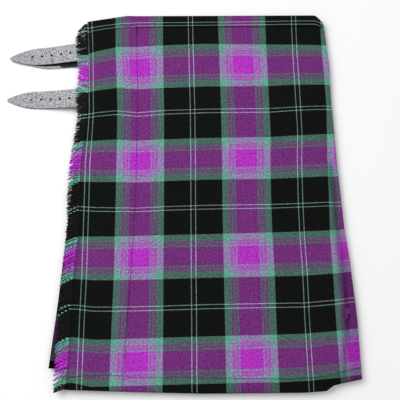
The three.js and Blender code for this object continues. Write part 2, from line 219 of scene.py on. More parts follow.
# ---- numpy helpers ----------------------------------------------------------------------------
def ease(value, low, high):
    """0 below low and 1 above high, with the smooth cubic 3t^2 - 2t^3 between."""
    t = np.clip((value - low) / (high - low), 0, 1)
    return t * t * (3 - 2 * t)


def table(rows, at, along, column):
    """Straight interpolation in a table of named columns."""
    return np.interp(at, rows[along], rows[column])


def at_level(rows, level):
    """A table's place across at each level up the cloth, as a column."""
    return table(rows, level, "y", "x")[:, None]


def soften(values, passes=6):
    """Averages each value with its neighbours, a few times, so that a table's corners round off."""
    for _ in range(passes):
        padded = np.concatenate([2 * values[:1] - values[1:2], values, 2 * values[-1:] - values[-2:-1]])
        values = (padded[:-2] + 2 * padded[1:-1] + padded[2:]) / 4
    return values


def seam(x):
    """The waistband's lower edge: its height below the waist line."""
    return table(WAIST_LINE, x, "x", "y") - BAND_HEIGHT


def knots(count, gathered):
    """Even fractions from 0 to 1, with the listed ones added and near doubles dropped."""
    merged = np.sort(np.concatenate([np.linspace(0, 1, count), gathered]))
    keep = np.concatenate([[True], np.diff(merged) > 1e-4])
    return merged[keep]


def bell(away, wide):
    """Bell curve e^-(away / wide)^2."""
    return np.exp(-((away / wide) ** 2))


def folds(x, y, rows):
    """Sum of soft folds: each is a bell curve of the distance to a segment, fading at its ends."""
    total = np.zeros_like(x)
    for row in rows:
        run = np.array([row["x1"] - row["x0"], row["y1"] - row["y0"]], float)
        size = np.hypot(*run)
        along = ((x - row["x0"]) * run[0] + (y - row["y0"]) * run[1]) / size
        aside = ((x - row["x0"]) * run[1] - (y - row["y0"]) * run[0]) / size
        wide = row["wide"]
        fade = ease(along, -wide, 1.6 * wide) * ease(size - along, -wide, 1.6 * wide)
        total += row["high"] * fade * bell(aside, wide)
    return total


def woven_shift(x, y):
    """Bilinear reading of the two shift tables: (sideways, along) in millimetres at each point."""
    across = [key for key in WARP_SHIFT if key != "y"]
    places = np.array([float(key[2:]) for key in across])
    sides = np.stack([np.interp(y, WARP_SHIFT["y"], WARP_SHIFT[key]) for key in across])
    up = [key for key in WEFT_SHIFT if key != "x"]
    levels = np.array([float(key[2:]) for key in up])
    rises = np.stack([np.interp(x, WEFT_SHIFT["x"], WEFT_SHIFT[key]) for key in up])
    return blend_rows(places, sides, x), blend_rows(levels, rises, y)


def blend_rows(places, rows, at):
    """Weights each pair of neighbouring rows by how near the point lies to their places."""
    at = np.clip(at, places[0], places[-1])
    high = np.clip(np.searchsorted(places, at, side="right"), 1, len(places) - 1)
    low = high - 1
    t = (at - places[low]) / (places[high] - places[low])
    below, above = (np.take_along_axis(rows, index[None], axis=0)[0] for index in (low, high))
    return below * (1 - t) + above * t


def arc_length(x, z):
    """Distance run along each row of points, from its first point."""
    steps = np.hypot(np.diff(x, axis=1), np.diff(z, axis=1))
    return np.concatenate([np.zeros((len(x), 1)), np.cumsum(steps, axis=1)], axis=1)


# ---- meshes -----------------------------------------------------------------------------------
def link_object(name, mesh):
    """Puts the mesh in the scene, at the origin."""
    obj = bpy.data.objects.new(name, mesh)
    bpy.context.scene.collection.objects.link(obj)
    return obj


def new_object(name, verts, faces, uv=None):
    """A smooth mesh object. faces is a list of arrays of vertex numbers, one row a face and one
    array for each number of corners; uv holds one pair for each vertex."""
    mesh = bpy.data.meshes.new(name)
    corners = np.concatenate([group.ravel() for group in faces]).astype(np.int32)
    sizes = np.concatenate([np.full(len(group), group.shape[1]) for group in faces])
    mesh.vertices.add(len(verts))
    mesh.vertices.foreach_set("co", verts.astype(np.float32).ravel())
    mesh.loops.add(len(corners))
    mesh.loops.foreach_set("vertex_index", corners)
    mesh.polygons.add(len(sizes))
    mesh.polygons.foreach_set("loop_start", (np.cumsum(sizes) - sizes).astype(np.int32))
    mesh.polygons.foreach_set("use_smooth", np.full(len(sizes), True))
    if uv is not None:
        layer = mesh.uv_layers.new(name="cloth")
        layer.data.foreach_set("uv", uv.astype(np.float32)[corners].ravel())
    mesh.update(calc_edges=True)
    return link_object(name, mesh)


def quads(rows, cols, base=0):
    """The quads of a grid, anticlockwise seen from the side where rows x columns points."""
    at = base + np.arange(rows * cols).reshape(rows, cols)
    return np.stack([at[:-1, :-1], at[:-1, 1:], at[1:, 1:], at[1:, :-1]], axis=-1).reshape(-1, 4)


def grid_normals(mid):
    """Unit normals of a grid: the cross product of its steps across and its steps up."""
    across = np.gradient(mid, axis=1)
    up = np.gradient(mid, axis=0)
    normal = np.cross(across, up)
    return normal / np.linalg.norm(normal, axis=2, keepdims=True)


def cloth_shell(name, mid, uv, thickness):
    """A closed thin shell: the grid of middles moved half the thickness along its normals to
    each side, with four rims. mid, uv and thickness are in metres."""
    rows, cols = mid.shape[:2]
    away = grid_normals(mid) * thickness / 2
    count = rows * cols
    verts = np.concatenate([(mid + away).reshape(-1, 3), (mid - away).reshape(-1, 3)])
    at = np.arange(count).reshape(rows, cols)
    rims = []
    for edge in (at[0, ::-1], at[-1], at[:, 0], at[::-1, -1]):
        rims.append(np.stack([edge[:-1], edge[1:], edge[1:] + count, edge[:-1] + count], axis=-1))
    faces = [quads(rows, cols), quads(rows, cols, count)[:, ::-1], *rims]
    flat = uv.reshape(-1, 2)
    return new_object(name, verts, faces, np.concatenate([flat, flat]))


def ring_sweep(count, rows, cols):
    """Faces of count separate sweeps of rings: quads joining each closed ring to the next, and a
    polygon closing each end."""
    at = np.arange(count * rows * cols).reshape(count, rows, cols)
    turned = np.roll(at, -1, axis=2)
    sides = np.stack([at[:, :-1], turned[:, :-1], turned[:, 1:], at[:, 1:]], axis=-1).reshape(-1, 4)
    return [sides, at[:, 0, ::-1], at[:, -1]]


def outward(obj):
    """Recalculates the normals of a closed mesh so that they point out."""
    bm = bmesh.new()
    bm.from_mesh(obj.data)
    bmesh.ops.recalc_face_normals(bm, faces=bm.faces)
    bm.to_mesh(obj.data)
    bm.free()


def keep(obj, slot, material, *nodes):
    """Rides the piece on the one body and hides what it replaces; slot is not used."""
    for each in material if isinstance(material, (list, tuple)) else [material]:
        obj.data.materials.append(each)
    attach(obj, "root")
    if nodes:
        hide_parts(*nodes)
    return obj


# ---- shader groups ----------------------------------------------------------------------------
class Nodes:
    """Short calls for wiring a node tree."""

    def __init__(self, tree):
        self.tree = tree

    def add(self, kind, **values):
        node = self.tree.nodes.new(kind)
        for key, value in values.items():
            setattr(node, key, value)
        return node

    def link(self, source, target):
        self.tree.links.new(source, target)

    def put(self, value, socket):
        if isinstance(value, bpy.types.NodeSocket):
            self.link(value, socket)
        else:
            socket.default_value = value

    def math(self, operation, a, b=0.0, c=0.0):
        node = self.add("ShaderNodeMath", operation=operation)
        for value, socket in zip((a, b, c), node.inputs):
            self.put(value, socket)
        return node.outputs[0]

    def mix(self, factor, a, b, blend="MIX"):
        node = self.add("ShaderNodeMix", data_type="RGBA", blend_type=blend)
        self.put(factor, node.inputs[0])
        self.put(a, node.inputs[6])
        self.put(b, node.inputs[7])
        return node.outputs[2]

    def ramp(self, value, stops, mode="LINEAR"):
        node = self.add("ShaderNodeValToRGB")
        node.color_ramp.interpolation = mode
        self.put(value, node.inputs[0])
        marks = node.color_ramp.elements
        while len(marks) < len(stops):
            marks.new(1.0)
        for mark, (at, shade) in zip(marks, stops):
            mark.position = at
            mark.color = (*shade, 1) if len(shade) == 3 else shade
        return node.outputs[0]

    def times(self, a, b):
        return self.math("MULTIPLY", a, b)

    def minus(self, a, b):
        return self.math("SUBTRACT", a, b)

    def object_place(self):
        return self.add("ShaderNodeTexCoord").outputs["Object"]

    def cloth_place(self):
        return self.add("ShaderNodeUVMap", uv_map="cloth").outputs[0]

    def split(self, vector):
        node = self.add("ShaderNodeSeparateXYZ")
        self.put(vector, node.inputs[0])
        return node.outputs

    def join(self, x, y, z=0.0):
        node = self.add("ShaderNodeCombineXYZ")
        for value, socket in zip((x, y, z), node.inputs):
            self.put(value, socket)
        return node.outputs[0]

    def noise(self, vector, scale, detail=2.0, rough=0.5):
        node = self.add("ShaderNodeTexNoise")
        self.put(vector, node.inputs["Vector"])
        node.inputs["Scale"].default_value = scale
        node.inputs["Detail"].default_value = detail
        node.inputs["Roughness"].default_value = rough
        return node.outputs["Fac"]

    def noise_vector(self, vector, scale):
        """A noise of three parts, centred on nought."""
        node = self.add("ShaderNodeTexNoise")
        self.put(vector, node.inputs["Vector"])
        node.inputs["Scale"].default_value = scale
        centred = self.add("ShaderNodeVectorMath", operation="SUBTRACT")
        self.link(node.outputs["Color"], centred.inputs[0])
        centred.inputs[1].default_value = (0.5, 0.5, 0.5)
        return centred.outputs[0]

    def scaled(self, value, size, base):
        """value x size + base."""
        return self.math("MULTIPLY_ADD", value, size, base)

    def shade(self, colour, level):
        """The colour made darker or lighter by a level, 1 leaving it as it is."""
        return self.mix(1.0, colour, self.join(level, level, level), "MULTIPLY")

    def group(self, tree, **values):
        """A group node with the given socket values or links; _ in a name stands for a space."""
        node = self.add("ShaderNodeGroup", node_tree=tree)
        for name, value in values.items():
            self.put(value, node.inputs[name.replace("_", " ")])
        return node


def new_group(name, inputs, outputs):
    """An empty node group with the named sockets; returns (group, wiring, input, output)."""
    group = bpy.data.node_groups.new(name, "ShaderNodeTree")
    for label, kind in inputs:
        group.interface.new_socket(label, in_out="INPUT", socket_type=kind)
    for label, kind in outputs:
        group.interface.new_socket(label, in_out="OUTPUT", socket_type=kind)
    wire = Nodes(group)
    return group, wire, wire.add("NodeGroupInput"), wire.add("NodeGroupOutput")


FLOAT, VECTOR, COLOUR = "NodeSocketFloat", "NodeSocketVector", "NodeSocketColor"
YARNS = [("Black", COLOUR), ("Purple", COLOUR), ("Green", COLOUR), ("Line", COLOUR)]

# Half a sett, from the middle of a line pair to the middle of a purple band. The mask's red and
# green mix purple and then green over black, and its blue lays the pale yarn over them.
BLACK, GREEN, PURPLE, PALE = (0, 0, 0), (0, 1, 0), (1, 0, 0), (0, 0, 1)
MOSTLY_PURPLE, MOSTLY_GREEN = (1, 0.25, 0), (1, 0.72, 0)
ACROSS = (
    (0.000, BLACK), (0.0335, PALE), (0.0500, BLACK), (0.5440, GREEN), (0.6700, MOSTLY_PURPLE),
    (0.7120, MOSTLY_GREEN), (0.7400, MOSTLY_PURPLE), (0.7700, MOSTLY_GREEN), (0.8000, PURPLE),
)
ALONG = (
    (0.000, BLACK), (0.0280, PALE), (0.0435, BLACK), (0.5620, GREEN), (0.6890, MOSTLY_PURPLE),
    (0.7170, MOSTLY_GREEN), (0.7400, MOSTLY_PURPLE), (0.7700, MOSTLY_GREEN), (0.8150, PURPLE),
)


def stripe_group(name, half_sett):
    """Yarn colour by place in the sett: the place is folded back and forth between a line pair
    and a purple middle, then read from the half sett."""
    inputs = [("Place", FLOAT), ("Centre", FLOAT), ("Half Sett", FLOAT), *YARNS]
    group, w, given, out = new_group(name, inputs, [("Color", COLOUR), ("Dark", FLOAT)])
    offset = w.minus(given.outputs["Place"], given.outputs["Centre"])
    folded = w.math("PINGPONG", offset, given.outputs["Half Sett"])
    mask = w.ramp(w.math("DIVIDE", folded, given.outputs["Half Sett"]), half_sett, "CONSTANT")
    parts = w.add("ShaderNodeSeparateColor")
    w.link(mask, parts.inputs[0])
    shade = given.outputs["Black"]
    for part, name in zip(parts.outputs, ("Purple", "Green", "Line")):
        shade = w.mix(part, shade, given.outputs[name])
    coloured = w.math("ADD", w.math("ADD", parts.outputs[0], parts.outputs[1]), parts.outputs[2])
    w.link(shade, out.inputs["Color"])
    w.link(w.math("MAXIMUM", w.minus(1.0, coloured), 0.0), out.inputs["Dark"])
    return group


def twill_group():
    """Two-over-two twill: the yarn counts across and along are added, and the sum's remainder
    by four says whether warp or weft is on top. Height is a rounded yarn."""
    inputs = [("Vector", VECTOR), ("Pitch", FLOAT)]
    group, w, given, out = new_group("twill", inputs, [("Weft On Top", FLOAT), ("Height", FLOAT)])
    across, along, _ = w.split(given.outputs["Vector"])
    counts = [w.math("DIVIDE", run, given.outputs["Pitch"]) for run in (across, along)]
    total = w.math("ADD", *[w.math("FLOOR", count) for count in counts])
    weft = w.math("GREATER_THAN", w.math("FLOORED_MODULO", total, 4.0), 1.5)
    rounds = []
    for count in counts:
        middle = w.minus(w.math("FRACT", count), 0.5)
        rounds.append(w.scaled(w.times(middle, middle), -4.0, 1.0))
    rise = w.add("ShaderNodeMix", data_type="FLOAT")
    w.link(weft, rise.inputs[0])
    w.link(rounds[0], rise.inputs[2])
    w.link(rounds[1], rise.inputs[3])
    w.link(weft, out.inputs["Weft On Top"])
    w.link(rise.outputs[0], out.inputs["Height"])
    return group


# How uneven the yarns are: short flecks, slubs, slow drift, and streaks that run with the warp. A
# part is a noise, stretched across and along, that moves the strength by its size round 1.
UNEVENNESS = (
    {"across": 1, "along": 1, "scale": 900.0, "detail": 3.0, "rough": 0.7, "size": 1.7},
    {"across": 1, "along": 1, "scale": 330.0, "detail": 3.0, "rough": 0.7, "size": 2.6},
    {"across": 1, "along": 1, "scale": 22.0, "detail": 2.0, "rough": 0.5, "size": 0.16},
    {"across": 30, "along": 1.5, "scale": 12.0, "detail": 2.0, "rough": 0.5, "size": 0.3},
)
TOP_LEAK = 0.2      # how much the yarn beneath shows through
LINT = 0.08         # fuzz where black crosses a colour
CROSS_SHADE = 0.32  # darkening where black crosses a colour


def tartan_group(across_stripe, along_stripe, twill):
    """Warp and weft stripes crossed by the twill; where black crosses a colour the black yarn
    hides more of it, so that crossing is darkened."""
    inputs = [("Vector", VECTOR), ("Warp Centre", FLOAT), ("Weft Centre", FLOAT), ("Half Warp", FLOAT),
              ("Half Weft", FLOAT), ("Pitch", FLOAT), ("Cross Shade", FLOAT), ("Pressed", FLOAT),
              ("Fuzz", COLOUR), *YARNS]
    outputs = [("Color", COLOUR), ("Height", FLOAT)]
    group, w, given, out = new_group("tartan", inputs, outputs)
    place = given.outputs["Vector"]
    across, along, _ = w.split(place)
    yarns = {name: given.outputs[name] for name, _ in YARNS}
    shades = [
        w.group(stripe, Place=run, Centre=given.outputs[thread + " Centre"],
                Half_Sett=given.outputs["Half " + thread], **yarns)
        for run, thread, stripe in ((across, "Warp", across_stripe), (along, "Weft", along_stripe))
    ]
    weave = w.group(twill, Vector=place, Pitch=given.outputs["Pitch"])
    weft = w.scaled(weave.outputs["Weft On Top"], 1 - 2 * TOP_LEAK, TOP_LEAK)
    cloth = w.mix(weft, shades[0].outputs["Color"], shades[1].outputs["Color"])
    differ = w.math("ABSOLUTE", w.minus(shades[0].outputs["Dark"], shades[1].outputs["Dark"]))
    kept = w.minus(1.0, w.times(differ, given.outputs["Cross Shade"]))
    linted = w.mix(w.times(differ, LINT), w.shade(cloth, kept), given.outputs["Fuzz"])
    # Painted shade from the mesh attribute darkens the cloth before the yarns' unevenness does.
    level = w.minus(1.0, given.outputs["Pressed"])
    for part in UNEVENNESS:
        sides = [w.times(run, part[key]) for run, key in ((across, "across"), (along, "along"))]
        noise = w.noise(w.join(*sides), part["scale"], part["detail"], part["rough"])
        level = w.times(level, w.scaled(noise, part["size"], 1 - part["size"] / 2))
    w.link(w.shade(linted, level), out.inputs["Color"])
    w.link(weave.outputs["Height"], out.inputs["Height"])
    return group


def grain_group():
    """Pebbled leather: cells whose borders are grooves, broken up by a finer noise."""
    inputs = [("Vector", VECTOR), ("Cell Size", FLOAT)]
    group, w, given, out = new_group("pebble grain", inputs, [("Groove", FLOAT), ("Height", FLOAT)])
    scale = w.math("DIVIDE", 1.0, given.outputs["Cell Size"])
    warped = w.add("ShaderNodeVectorMath", operation="MULTIPLY_ADD")
    w.link(w.noise_vector(given.outputs["Vector"], 300.0), warped.inputs[0])
    warped.inputs[1].default_value = (0.0012, 0.0012, 0.0012)
    w.link(given.outputs["Vector"], warped.inputs[2])
    cells = w.add("ShaderNodeTexVoronoi", feature="DISTANCE_TO_EDGE")
    w.link(warped.outputs[0], cells.inputs["Vector"])
    w.link(scale, cells.inputs["Scale"])
    dome = w.ramp(cells.outputs["Distance"], ((0.0, (0, 0, 0)), (0.16, (0.75, 0.75, 0.75)), (0.4, (1, 1, 1))))
    w.link(w.minus(1.0, dome), out.inputs["Groove"])
    w.link(dome, out.inputs["Height"])
    return group


# ---- materials ----------------------------------------------------------------------------------
def shared(name, build):
    """The material of that name, built the first time it is asked for."""
    return bpy.data.materials.get(name) or build(name)


def blank_material(name, **values):
    """A material whose Principled shader has the given constant socket values; _ in a value's
    name stands for a space."""
    material = bpy.data.materials.new(name)
    material.use_nodes = True
    shader = material.node_tree.nodes["Principled BSDF"]
    for label, value in values.items():
        shader.inputs[label.replace("_", " ")].default_value = value
    return material, Nodes(material.node_tree), shader


def bump(w, shader, height, distance, strength):
    """Feeds a height in metres of distance to the shader's normal."""
    node = w.add("ShaderNodeBump")
    node.inputs["Strength"].default_value = strength
    node.inputs["Distance"].default_value = distance
    w.link(height, node.inputs["Height"])
    w.link(node.outputs[0], shader.inputs["Normal"])


def yarn_colours(cloth):
    """The four yarn colours, by their sockets' names."""
    return {"Black": cloth.black, "Purple": cloth.purple, "Green": cloth.green, "Line": cloth.line}


def groups():
    """The shared shader groups, made once."""
    if "tartan" not in bpy.data.node_groups:
        tartan_group(stripe_group("sett across", ACROSS), stripe_group("sett along", ALONG), twill_group())
        grain_group()
    return bpy.data.node_groups


def tartan_material(name):
    """Woven tartan on the piece's own cloth map, darkened by the painted shade in the mesh attribute named
    pressed.
    """
    cloth = bpy.context.scene.kilt_cloth
    material, w, shader = blank_material(
        name, Roughness=0.92, Specular_IOR_Level=0.06, Sheen_Weight=0.02, Sheen_Roughness=0.5)
    # Pressed reads the mesh attribute named pressed, which holds painted shade.
    node = w.group(
        groups()["tartan"],
        Vector=w.cloth_place(),
        Pressed=w.add("ShaderNodeAttribute", attribute_name="pressed").outputs["Fac"],
        Warp_Centre=cloth.warp_centre, Weft_Centre=cloth.weft_centre,
        Half_Warp=cloth.half_warp, Half_Weft=cloth.half_weft,
        Pitch=cloth.yarn_pitch, Cross_Shade=CROSS_SHADE, Fuzz=cloth.fuzz, **yarn_colours(cloth))
    w.link(node.outputs["Color"], shader.inputs["Base Color"])
    bump(w, shader, node.outputs["Height"], 0.00025, 0.35)
    return material


def fringe_material(name):
    """Weft colours only: the yarn keeps the colour of the place it was woven. The map's across
    part holds a whole number for each strand's tone and the distance along the yarn."""
    cloth = bpy.context.scene.kilt_cloth
    material, w, shader = blank_material(
        name, Roughness=0.9, Specular_IOR_Level=0.15, Sheen_Weight=0.05, Sheen_Roughness=0.5)
    across, along, _ = w.split(w.cloth_place())
    node = w.group(groups()["sett along"], Place=along, Centre=cloth.weft_centre,
                   Half_Sett=cloth.half_weft, **yarn_colours(cloth))
    twist = w.noise(w.join(across, w.times(along, 6.0)), 700.0)
    strand = w.noise(w.join(w.math("FLOOR", across), 0.37), 3.7, 0.0)
    level = w.math("ADD", w.scaled(twist, 0.5, 0.05), w.scaled(strand, 2.6, -0.5))
    # Painted shade between the slanting bands of matted yarn, painted highlight on them.
    level = w.times(level, painted_clump_shade(w))
    w.link(w.shade(node.outputs["Color"], level), shader.inputs["Base Color"])
    bump(w, shader, twist, 0.0002, 0.5)
    return material


def painted_clump_shade(w):
    """Painted shade and painted highlight for yarns matted into steep slanting bands: a wavering sine
    of the distance across the slant, dark between the bands and lighter on them."""
    place = w.object_place()
    x, y, _ = w.split(place)
    count = w.math("MULTIPLY_ADD", y, -110.0, w.times(x, 190.0))
    count = w.math("MULTIPLY_ADD", w.noise(place, 110.0), 2.2, count)
    ridge = w.math("ABSOLUTE", w.math("SINE", w.times(count, np.pi)))
    return w.scaled(ridge, 0.7, 0.5)


def leather_material(name):
    """Pebbled silver leather: bright grain over dark grooves, blotched by a slow noise."""
    trim = bpy.context.scene.kilt_trim
    material, w, shader = blank_material(name, Specular_IOR_Level=0.45, Coat_Weight=0.12, Coat_Roughness=0.3)
    place = w.object_place()
    node = w.group(groups()["pebble grain"], Vector=place, Cell_Size=0.0027)
    groove = node.outputs["Groove"]
    blotch = w.scaled(w.noise(place, 260.0, 3.0, 0.6), 0.7, 0.65)
    top = w.shade(tuple(trim.leather), blotch)
    w.link(w.mix(groove, top, tuple(trim.groove)), shader.inputs["Base Color"])
    w.link(w.scaled(groove, 0.25, 0.4), shader.inputs["Roughness"])
    bump(w, shader, node.outputs["Height"], 0.0004, 0.6)
    return material


def flesh_material(name):
    """The leather's dark flesh side: fine fibres, from a noise in its colour and height."""
    material, w, shader = blank_material(name, Roughness=0.75, Specular_IOR_Level=0.25)
    fibre = w.noise(w.object_place(), 1400.0, 3.0, 0.65)
    dark = tuple(bpy.context.scene.kilt_trim.flesh)
    w.link(w.shade(dark, w.scaled(fibre, 0.6, 0.7)), shader.inputs["Base Color"])
    bump(w, shader, fibre, 0.0001, 0.3)
    return material


def steel_material(name):
    """Plated buckle metal, rubbed unevenly."""
    material, w, shader = blank_material(name, Metallic=1.0, Base_Color=bpy.context.scene.kilt_trim.steel)
    wear = w.noise(w.object_place(), 500.0, 4.0, 0.6)
    w.link(w.scaled(wear, 0.25, 0.14), shader.inputs["Roughness"])
    bump(w, shader, wear, 0.00005, 0.2)
    return material


# ---- front apron --------------------------------------------------------------------------------
CREASE_SHARE = 0.21           # share of the front's columns left of the crease
SHELL_SHARE = 0.93            # walls a little thinner than the layers' spacing, so none touch


def front_height(x, y, fold_x):
    """Middle of the front: lifted by the straps towards the free edge, rolling down at the right
    fold, with the soft folds, the pressed crease and the doubled hem added."""
    on_straps = ease(y, 95, 135) * (1 - 0.4 * ease(y, 262, 290))
    lift = STRAP_LIFT * (0.35 + 0.65 * on_straps) * (1 - ease(x, LIFT_FULL, LIFT_END))
    roll = (FRONT - INNER - 2 * ROLL_RADIUS) * ease(x, fold_x - UNDER_SHORT, fold_x)
    away = x - table(CREASE, y, "y", "x")
    pressed = -0.9 * bell(away, 0.7) + 0.45 * bell(away + 2.6, 2.2)
    hem = y - table(HEM_LINE, x, "x", "y")
    doubled = HEM_STEP * (1 - ease(hem, -1, 0.6))
    stitched = -0.45 * bell(hem, 0.9)
    inside = 1 - ease(x, fold_x - 4, fold_x)
    return FRONT + lift - roll + inside * (folds(x, y, FRONT_FOLDS) + pressed + doubled + stitched)


def front_grid():
    """Rows from hem to waist seam; columns from the free edge over the front, gathered at the
    crease, round the right fold and back underneath to the seam with the pleats."""
    t = knots(150, np.concatenate([np.linspace(0.016, 0.044, 30), [0.0008, 0.0016, 0.003, 0.997]]))
    level = LOW_LEVEL + (HIGH_LEVEL - LOW_LEVEL) * t
    edge, fold_x, crease = (soften(at_level(rows, level)) for rows in (FREE_EDGE, RIGHT_FOLD, CREASE))
    fold_x = fold_x - CLOTH / 2 - ROLL_RADIUS
    near_crease = CREASE_SHARE + np.linspace(-0.006, 0.006, 19)
    s = knots(118, np.concatenate([near_crease, [0.002, 0.004, 0.006, 0.009]]))
    left = edge + (crease - edge) * s / CREASE_SHARE
    right = crease + (fold_x + ROLL_RADIUS - crease) * (s - CREASE_SHARE) / (1 - CREASE_SHARE)
    x = np.where(s < CREASE_SHARE, left, right)
    x = np.minimum(x, fold_x)
    t = t[:, None]
    y = table(FRONT_HEM, x, "x", "y") * (1 - t) + seam(x) * t
    z = front_height(x, y, fold_x)
    last = np.argmax(x >= fold_x - 1e-9, axis=1).min()
    x, y, z = x[:, :last], y[:, :last], z[:, :last]
    angle = np.linspace(np.pi / 2, -np.pi / 2, 11)[None]
    turn_x = fold_x + ROLL_RADIUS * np.cos(angle)
    turn_z = INNER + ROLL_RADIUS + ROLL_RADIUS * np.sin(angle) + 0 * fold_x
    sewn = at_level(BACK_SEAM, level) + SEAM_GAP
    back_x = fold_x + (sewn - fold_x) * np.linspace(0, 1, 30)[None, 1:]
    sunk = -3.6 * bell(back_x - 256, 10) * (1 - ease(level, -60, 60))[:, None]
    back_z = INNER + sunk
    under_x = np.concatenate([turn_x, back_x], axis=1)
    under_z = np.concatenate([turn_z, back_z], axis=1)
    low = table(FRONT_HEM, under_x, "x", "y")
    behind = table(BACK_HEM, under_x, "x", "y")
    share = ease(-under_z, -(INNER + 2 * ROLL_RADIUS), -INNER)
    under_y = (low * (1 - share) + behind * share) * (1 - t) + seam(under_x) * t
    grid = np.stack([
        np.concatenate([x, under_x], axis=1),
        np.concatenate([y, under_y], axis=1),
        np.concatenate([z, under_z], axis=1),
    ], axis=-1)
    return grid, last


def cloth_uv(grid, top_columns):
    """Across is x on the flat top, less the weave's sideways shift, and runs on by distance round
    the fold; along is y less the weave's shift."""
    x, y, z = np.moveaxis(grid, -1, 0)
    side, rise = woven_shift(x, y)
    across = x - side
    beyond = arc_length(x, z)
    start = top_columns - 1
    across[:, start:] = across[:, start:start + 1] + beyond[:, start:] - beyond[:, start:start + 1]
    rise[:, start:] = rise[:, start:start + 1]
    return np.stack([across, y - rise], axis=-1)


def painted_shade_marks(grid):
    """Painted shade on the front, from 0 to 0.8: darkening along the crease, at the fringe's root,
    at the hem's stitches, its edge and its doubled part, under the waistband, and down the right
    side in its two long folds and beyond them."""
    x, y, z = np.moveaxis(grid, -1, 0)
    crease = x - table(CREASE, y, "y", "x")
    root = x - table(FREE_EDGE, y, "y", "x")
    edge = y - table(FRONT_HEM, x, "x", "y")
    hem = y - table(HEM_LINE, x, "x", "y")
    marks = 0.7 * bell(crease, 0.75) + 0.35 * bell(crease, 2) * ease(y, 262, 280)
    marks *= 0.8 + 0.2 * np.sin(y / 7.0)
    marks += 0.5 * bell(root - 1.2, 1.1) + 0.3 * bell(root - 4.2, 0.7) * (1 - ease(y, 0, 60))
    marks += 0.55 * bell(hem, 0.8) + 0.5 * bell(edge, 1.6)
    marks += 0.16 * (1 - ease(hem, -1, 1)) * ease(x, 20, 120)
    marks += 0.35 * bell(y - seam(x), 1.0)
    marks -= 0.15 * folds(x, y, FRONT_FOLDS[:2])
    marks += 0.28 * ease(x, 254, 262) * (1 - ease(y, -150, -60))
    return np.clip(marks, 0, 0.8) * (z > FRONT - 5)


def mark(obj, name, values):
    """Stores one number for each vertex; both faces of the shell take the grid's own."""
    layer = obj.data.attributes.new(name, "FLOAT", "POINT")
    layer.data.foreach_set("value", np.tile(values.ravel(), 2).astype(np.float32))


def lay_sheet(name, grid, uv, pressed=None):
    """Makes a piece's shell from its grid and map in millimetres and stores the painted shade it is
    given as the mesh attribute named pressed."""
    thickness = bpy.context.scene.kilt_cloth.thickness * SHELL_SHARE
    obj = cloth_shell(name + "_cloth", grid * MM, uv * MM, thickness)
    # The attribute named pressed carries the painted shade to the tartan material.
    if pressed is not None:
        mark(obj, "pressed", pressed)
    keep(obj, "tartan", shared("tartan cloth", tartan_material), name)


class KILT_OT_front_apron(bpy.types.Operator):
    """Front apron: one sheet from the free edge round the right fold, with its creases and hem"""
    bl_idname = "kilt.front_apron"
    bl_label = "Front apron"

    def execute(self, context):
        grid, last = front_grid()
        lay_sheet("front_apron", grid, cloth_uv(grid, last),
                  painted_shade_marks(grid))
        return {"FINISHED"}


# ---- under apron and pleated back ---------------------------------------------------------------
UNDER_FOLDS = (
    {"x0": 40, "y0": 260, "x1": 20, "y1": -240, "wide": 16, "high": -0.12},
    {"x0": 150, "y0": 200, "x1": 170, "y1": -100, "wide": 12, "high": -0.12},
)


def panel(level, x, z):
    """Lays sections of points between the back's hem line and the waist seam."""
    t = ((level - LOW_LEVEL) / (HIGH_LEVEL - LOW_LEVEL))[:, None]
    y = table(BACK_HEM, x, "x", "y") * (1 - t) + seam(x) * t
    return np.stack([x, y, z], axis=-1)


def half_turn(x, z0, z1, side, steps):
    """Points round a half circle between two heights, bulging to the given side."""
    angle = np.linspace(-np.pi / 2, np.pi / 2, steps)[None]
    radius = (z1 - z0) / 2
    return x + side * abs(radius) * np.cos(angle), (z0 + z1) / 2 + radius * np.sin(angle) + 0 * x


def straight(x0, x1, z0, z1, steps):
    """Points along a straight run between two places and two heights."""
    t = np.linspace(0, 1, steps)[None]
    return x0 + (x1 - x0) * t, z0 + (z1 - z0) * t + 0 * x0


def chain(level, runs):
    """Joins runs of (x, z) points into one grid of sections."""
    x = np.concatenate([run[0] for run in runs], axis=1)
    z = np.concatenate([run[1] for run in runs], axis=1)
    return panel(level, x, z)


def left_turn(level):
    """Where the turn at the left fold begins, inside the fold's outline."""
    return at_level(LEFT_FOLD, level) + (UNDER - INNER) / 2 + CLOTH / 2


def under_grid():
    """Rows from hem to waist seam; columns from the free edge across, round the left fold and
    back below to the seam with the pleats."""
    level = np.linspace(LOW_LEVEL, HIGH_LEVEL, 60)
    free = soften(at_level(RIGHT_FOLD, level)) - UNDER_SHORT - 3
    fold_x = left_turn(level)
    top = straight(free, fold_x + 0.8, UNDER, UNDER, 90)
    turn = half_turn(fold_x, UNDER, INNER, -1, 9)
    back = straight(fold_x + 0.8, fold_x + UNDER_TURN, INNER, INNER, 12)
    grid = chain(level, [top, turn, back])
    inside = ease(grid[..., 0], fold_x + 4, fold_x + 20) * (grid[..., 2] > UNDER - 0.1)
    grid[..., 2] += inside * folds(grid[..., 0], grid[..., 1], UNDER_FOLDS)
    return grid


BACK_STEPS, SIDE_STEPS = 14, 8


